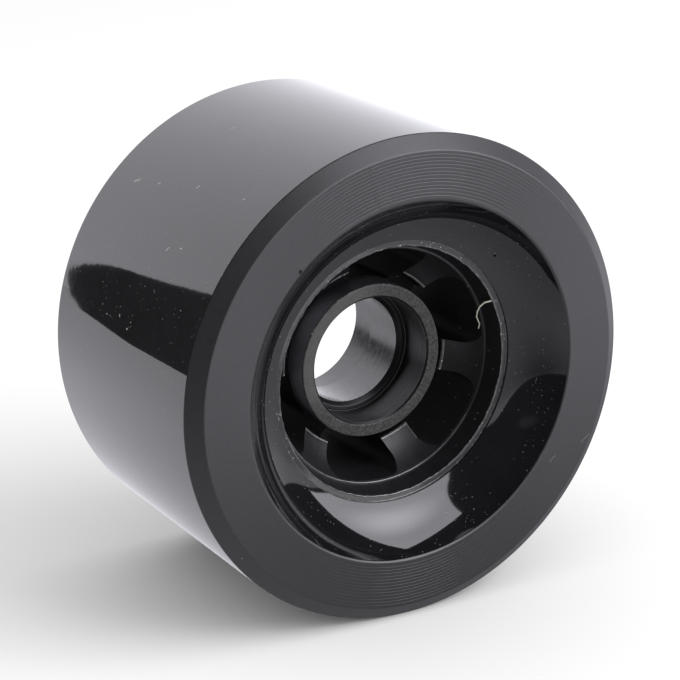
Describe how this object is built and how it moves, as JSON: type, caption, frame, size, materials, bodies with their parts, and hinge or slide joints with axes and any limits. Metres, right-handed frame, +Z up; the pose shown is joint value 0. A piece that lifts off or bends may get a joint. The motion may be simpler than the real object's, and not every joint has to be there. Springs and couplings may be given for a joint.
{
  "type": "longboard wheel",
  "caption": "Cast urethane longboard wheel on a moulded spoked core, with a bearing seat in each end of its hub and an open spacer bore.",
  "frame": {"origin": "the wheel's centre, on its axle line and half way between the two lips", "axes": "the axle line is Y, the face seen in the picture looks to -Y, and the wheel stands on its tread with +Z up"},
  "size_m": [0.083, 0.052, 0.083],
  "materials": {
    "core": "black moulded nylon, satin, with a light flash ring at the rim's mouth",
    "tyre": "black cast urethane: glossy tread and dish, lathe-turned satin lip and bevel"
  },
  "bodies": {
    "root": {"core": "core", "tyre": "tyre"}
  },
  "joints": []
}
